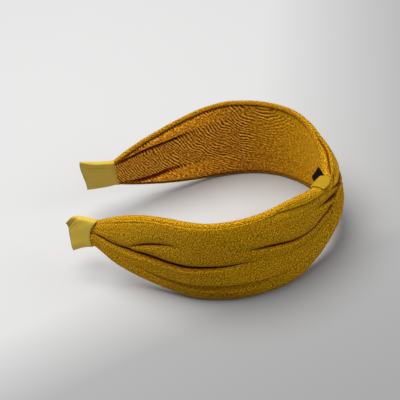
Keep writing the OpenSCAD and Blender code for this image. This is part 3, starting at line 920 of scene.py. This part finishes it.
def make_ribbon(arm):
    """Ribbon folded round a tip like a parcel's end, with a small ear at each corner."""
    wrap = WRAPS[arm.name]
    a = np.linspace(0, 2 * math.pi, WRAP_AROUND, endpoint=False)[None, :]
    t = np.linspace(0, 1, WRAP_ROWS)[:, None]
    across, out = squared(np.cos(a)), squared(np.sin(a))
    start = arm.mouth + wrap.start - np.where(across > 0, *wrap.bow) * across ** 2
    ear = np.abs(across) ** 5 * np.where(across > 0, *wrap.ear)
    s = start + (arm.end + 0.6 + ear - start) * t
    above, below = (np.where(t < MOUTH_SHARE, np.maximum(half(t), arm.half(s, z) + 0.35), half(t))
                    for half, z in ((wrap.above, 1), (wrap.below, -1)))
    thick = WRAP_THICK(t)
    z = across * np.where(across > 0, above, below)
    n = WRAP_N + out * thick
    side = -arm.side
    outer = unit(side * out)
    n, dark = folded_corner(n, z, t, outer) if arm is NEAR else folded_edge(n, above - z, outer)
    n = n + side * outer * 0.14 * np.sin(z * 0.9 + s * 0.35) * ease(t / 0.5)
    # painted shade at the turned-in mouth and at the drawn-together end
    dark = np.maximum(dark, bell(t - 0.045, 0.02) * 0.4 + bell(1 - t, 0.03) * 0.5)
    # The mouth's lip is turned in, and the end is drawn together
    lip = WRAP_N + out * (thick[0] - 0.75)
    s = np.vstack([s[:1] + 1.2, s[:1] + 0.1, s[:1] - 0.12, s, s[-1:] + 0.15])
    n = np.vstack([lip, lip + out * 0.3, n[:1] - out * 0.12, n, n[-1:] * 0.45])
    z = np.vstack([z[:1] * 0.93, z[:1] * 0.965, z[:1] * 0.99, z, z[-1:] * 0.97])
    dark = np.vstack([dark[:1], dark[:1], dark[:1], dark, dark[-1:]])
    cloth = np.stack([s, np.cumsum(np.abs(np.gradient(z, axis=1)) + 0.02, axis=1), 0 * z], -1)
    quads = grid_quads(len(s), WRAP_AROUND, ring=True, flip=arm is FAR).tolist()
    cap = [(len(s) - 1) * WRAP_AROUND + k for k in range(WRAP_AROUND)]
    for k in range(WRAP_AROUND // 2 - 1):
        quad = [cap[k], cap[k + 1], cap[-k - 2], cap[-k - 1]]
        quads.append(quad if arm is NEAR else quad[::-1])
    return new_piece(f"{arm.name}_tip_wrap", arm.place(s, n, z), quads, RIBBON, cloth, dark)


near_wrap, far_wrap = make_ribbon(NEAR), make_ribbon(FAR)

# ---- crown tape and label

TAPE_OUT = 0.75  # how far the tape stands off the panels' rims
TAPE_IN = -2.75  # its height where it turns onto the lining
TAPE_HALF, TAPE_SLANT = 6.8, 4.2  # half its width, and how far it slants along the hoop
TAPE_COLUMNS, TAPE_OVER, TAPE_INSIDE = 29, 14, 26
# Height of its upper end at s, and of its lower end
TAPE_END = curve((-12, 1.5), (4, 2.0), (6, 3.0), (9, 4.3), (13, 5.4), (16, 5.3), (20, 4.8))
TAPE_LOW_END = 1.2


def rim_top(arm, s, n):
    """z of the panel's upper rim at height n."""
    width = arm.half(s)
    share = edge_share(s)
    high = face_height(arm, s, width * share) - RIM_N
    sin_b = unit((n - RIM_N) / high) ** (1 / (2 - share))
    cos_a = unit((RIM_N - n) / (RIM_N - (SKIN_IN - HEM_OUT)))
    outside = width * (share + (1 - share) * np.sqrt(1 - sin_b ** 2))
    return np.where(n > RIM_N, outside, width - RIM_TURN * (1 - np.sqrt(1 - cos_a ** 2)))


def make_tape():
    """Ribbon round the inside of the knot, over both rims, its ends tucked under the pleats."""
    u = np.linspace(-1, 1, TAPE_COLUMNS)[None, :]
    t = np.linspace(0, 1, TAPE_OVER)[:, None]
    across = np.linspace(1, -1, TAPE_INSIDE)[1:-1, None]
    level = np.vstack([np.ones((TAPE_OVER, 1)), across, -np.ones((TAPE_OVER, 1))])
    s = KNOT_S + 0.6 + TAPE_SLANT * level + TAPE_HALF * u
    s_over, s_in, s_low = np.split(s, (TAPE_OVER, -TAPE_OVER))
    end = TAPE_END(s[:1])
    n_over = end + (TAPE_IN - end) * t
    n_low = (TAPE_LOW_END + (TAPE_IN - TAPE_LOW_END) * t + 0 * end)[::-1]
    off = TAPE_OUT * np.sqrt(np.clip(1 - np.abs(u) ** 6, 0.1, 1))
    off = off * np.sin(np.pi * unit(0.06 + 0.9 * t)) ** 0.3
    z_in = across * (NEAR.half(s_in) - RIM_TURN)
    n_in = -2.95 - 0.25 * off[-1:] + 0 * z_in
    n = np.vstack([n_over, n_in, n_low])
    z = np.vstack([rim_top(NEAR, s_over, n_over) + off, z_in,
                   -rim_top(NEAR, s_low, n_low) - 0.6 * off[::-1]])
    n = n - 0.9 * bell(level - 1, 0.3) * unit(-n / 2) * (1 - u ** 4)
    n = n + 0.08 * np.sin(3.1 * u + level * 4)
    # painted shade along the tape's two edges and at its upper end
    dark = bell(1 - u, 0.08) * 0.3 + bell(1 + u, 0.09) * 0.7 + 0.3 * bell(end - n, 0.4)
    tape = new_piece("crown_tape_ribbon", NEAR.place(s, n, z), grid_quads(*s.shape), TAPE,
                     np.stack([s, z, 0 * s], -1), dark)
    return thicken(tape, 0.4)


def make_label():
    """Small blank woven tab whose corner sticks out beside the tape."""
    steps = 14
    apex, left, right, low = (np.array(p) for p in (
        (-3.4, -3.6, 15.2), (4.6, -6.9, 14.2), (7.4, 0.9, 16.4), (15, -2.6, 14.6)))
    q = np.linspace(0, 1, steps)[:, None]
    p = q[:, None]
    flat = apex * (1 - p) * (1 - q) + left * p * (1 - q) + right * (1 - p) * q + low * p * q
    flat[..., 1] -= 0.5 * (np.sin(np.pi * p) * np.sin(np.pi * q))[..., 0]
    points = NEAR.place(*np.moveaxis(flat, -1, 0))
    return thicken(new_piece("blank_label", points, grid_quads(steps, steps), LABEL), 0.35, 0.0)


crown_tape, label = make_tape(), make_label()

# ---- inner pieces, leaned with the tips


def leaned(node, arm, material, squeeze=1.0):
    """A copy of a CAD node that follows its arm's lean. squeeze thins what stands off the hoop."""
    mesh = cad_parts[node].data.copy()
    co = np.array([v.co for v in mesh.vertices], float) / MM
    s = np.linspace(FLEX_S - 1, arm.end + 1, 900)
    x, y, heading = arm.hoop(s)
    nearest = np.argmin((co[:, :1] - x) ** 2 + (co[:, 1:2] - y) ** 2, axis=1)
    s, x, y, heading = s[nearest], x[nearest], y[nearest], heading[nearest]
    n = (co[:, 0] - x) * np.cos(heading) + (co[:, 1] - y) * np.sin(heading)
    slip = -(co[:, 0] - x) * np.sin(heading) + (co[:, 1] - y) * np.cos(heading)
    s = s + slip * arm.side
    n = np.where(n > 1.0, 1.0 + (n - 1.0) * squeeze, n)
    z = co[:, 2] - MID_Z + arm.tip_drop * arm.to_tip(s) ** 2
    points = arm.place(s, n, z * arm.half(s, z) / arm.half(s))
    mesh.vertices.foreach_set("co", points.astype(np.float32).ravel())
    mesh.materials.clear()
    mesh.materials.append(material)
    mesh.update()
    piece = link(f"{node}_fitted", mesh)
    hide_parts(node)
    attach(piece, f"{arm.name}_arm")
    return piece


for arm in (NEAR, FAR):
    for node, material, slot in (("hoop_arm", PLASTIC, "hoop_plastic"), ("seam_stitches", THREAD, "thread"),
                                 ("tip_glue", GLUE, "glue")):
        leaned(f"{arm.name}_{node}", arm, material)
    leaned(f"{arm.name}_wadding", arm, WADDING, squeeze=0.1)

for node, material in (("hoop_crown", PLASTIC), ("knot_tack_stitches", THREAD)):
    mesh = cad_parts[node].data
    mesh.materials.clear()
    mesh.materials.append(material)

# ---- baked cloth, bodies and hidden CAD parts

for arm, panel, lining in ((NEAR, near_panel, near_lining), (FAR, far_panel, far_lining)):
    x, y, heading = (float(v) for v in arm.hoop(np.array(FLEX_S)))
    for piece in (panel, lining):
        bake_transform(piece)
    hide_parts(f"{arm.name}_cover", f"{arm.name}_knot_strand")
    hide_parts(f"{arm.name}_lining", "crown_lining")

for arm, wrap, length in ((NEAR, near_wrap, 0.042), (FAR, far_wrap, 0.054)):
    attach(wrap, f"{arm.name}_arm")
    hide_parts(f"{arm.name}_tip_ribbon")

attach(crown_tape, "crown")
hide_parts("crown_tape")
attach(label, "crown")
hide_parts("woven_label")

# ---- floor, light and camera

corners = [(-3, -3, 0), (3, -3, 0), (3, 3, 0), (-3, 3, 0)]
new_piece("studio_floor", corners, [(0, 1, 2, 3)], floor_material())


def area_light(name, place, size, power, colour):
    """A round soft lamp, turned to the band."""
    data = bpy.data.lights.new(name, "AREA")
    data.shape, data.size, data.energy, data.color = "DISK", size, power, colour
    lamp = link(name, data)
    lamp.location = place
    lamp.rotation_euler = (Vector((0, 0, 0.02)) - Vector(place)).to_track_quat("-Z", "Y").to_euler()


area_light("key_light", (-0.22, 0.12, 1.05), 1, 18, (1, 0.99, 0.97))
area_light("side_light", (0.85, -0.15, 0.55), 0.5, 3, (0.98, 0.99, 1))

world = bpy.data.worlds.new("studio")
world.use_nodes = True
background = world.node_tree.nodes["Background"].inputs
background["Color"].default_value = (0.95, 0.97, 1.0, 1)
background["Strength"].default_value = 0.38
bpy.context.scene.world = world

azimuth, elevation, roll = (math.radians(a) for a in (15.33, 38.46, -12.49))
distance, lens = 0.7193, 114.4
back = Vector((math.sin(azimuth) * math.cos(elevation), -math.cos(azimuth) * math.cos(elevation),
               math.sin(elevation)))
right = Vector((math.cos(azimuth), math.sin(azimuth), 0))
up = back.cross(right)
x_axis = right * math.cos(roll) + up * math.sin(roll)
y_axis = -right * math.sin(roll) + up * math.cos(roll)
target = Vector((0, 0, MID_Z * MM))
data = bpy.data.cameras.new("camera")
data.sensor_width, data.lens = 36.0, lens
data.shift_x, data.shift_y = -0.0156, -0.0065
data.clip_start, data.clip_end = 0.05, 20.0
camera = link("camera", data)
camera.matrix_world = Matrix.Translation(target + back * distance) @ Matrix(
    (x_axis, y_axis, back)).transposed().to_4x4()
bpy.context.scene.camera = camera
bpy.context.scene.view_settings.view_transform = "Standard"
